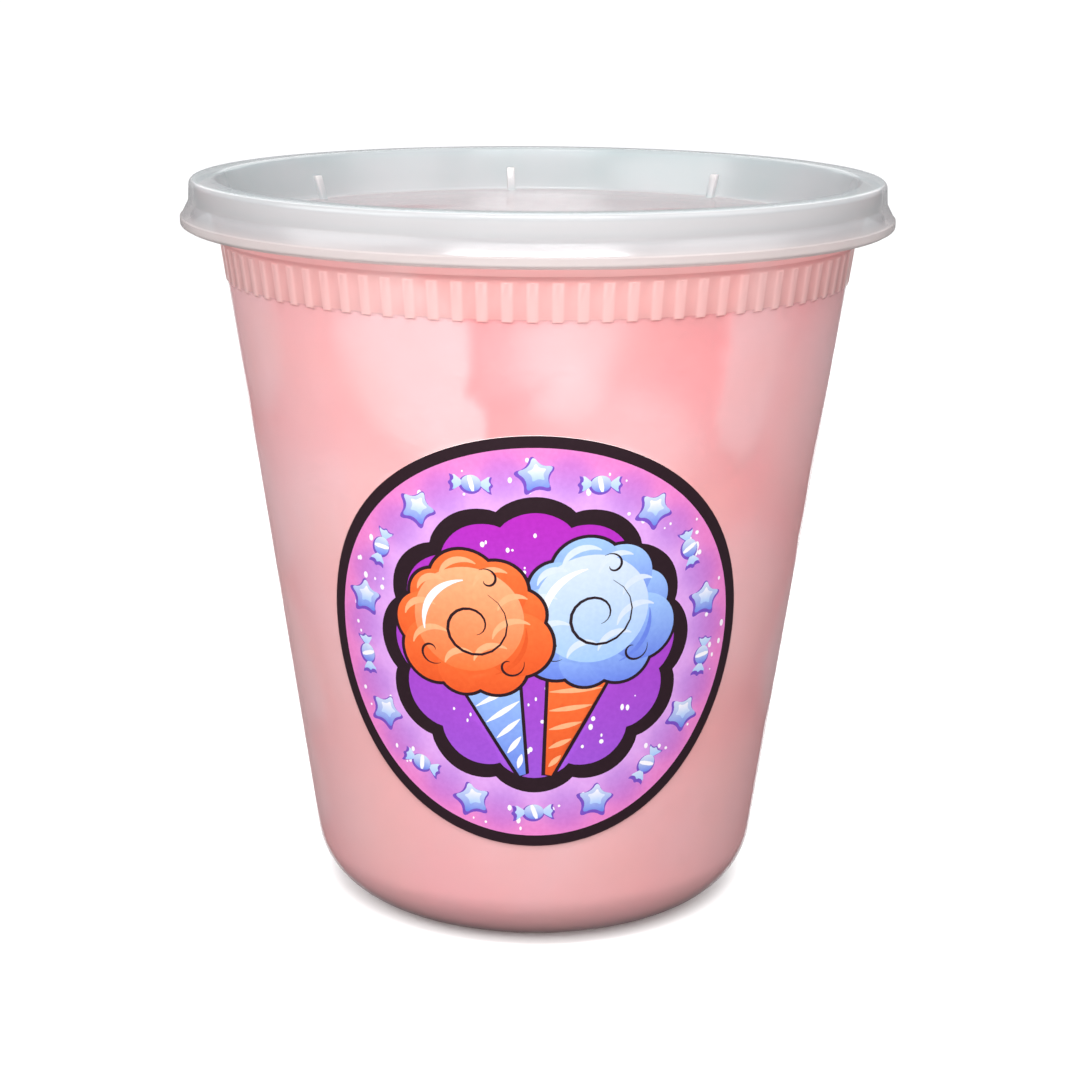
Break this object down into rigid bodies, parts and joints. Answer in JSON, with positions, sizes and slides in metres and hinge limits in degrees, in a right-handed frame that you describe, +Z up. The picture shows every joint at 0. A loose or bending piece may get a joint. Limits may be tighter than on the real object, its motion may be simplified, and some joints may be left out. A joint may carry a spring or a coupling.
{
  "type": "cotton candy in a lidded tub",
  "caption": "Round translucent deli tub with a ribbed collar, packed full of pink cotton candy, closed by a push-fit lid with a sunk panel, and a round sticker on the front.",
  "frame": {"origin": "middle of the tub's flat base", "axes": "+Z up along the axis of the tub and lid, -Y towards the front, where the sticker is"},
  "size_m": [0.1174, 0.1174, 0.1223],
  "materials": {
    "tub_plastic": "translucent milky polypropylene, semi-gloss",
    "lid_plastic": "translucent frosted polypropylene, semi-gloss",
    "spun_sugar": "matte spun sugar fibres, packed, pink",
    "sticker": "coated printed paper, satin"
  },
  "bodies": {
    "root": {"tub": "tub_plastic", "lid": "lid_plastic", "cotton_candy": "spun_sugar", "label": "sticker"}
  },
  "joints": []
}
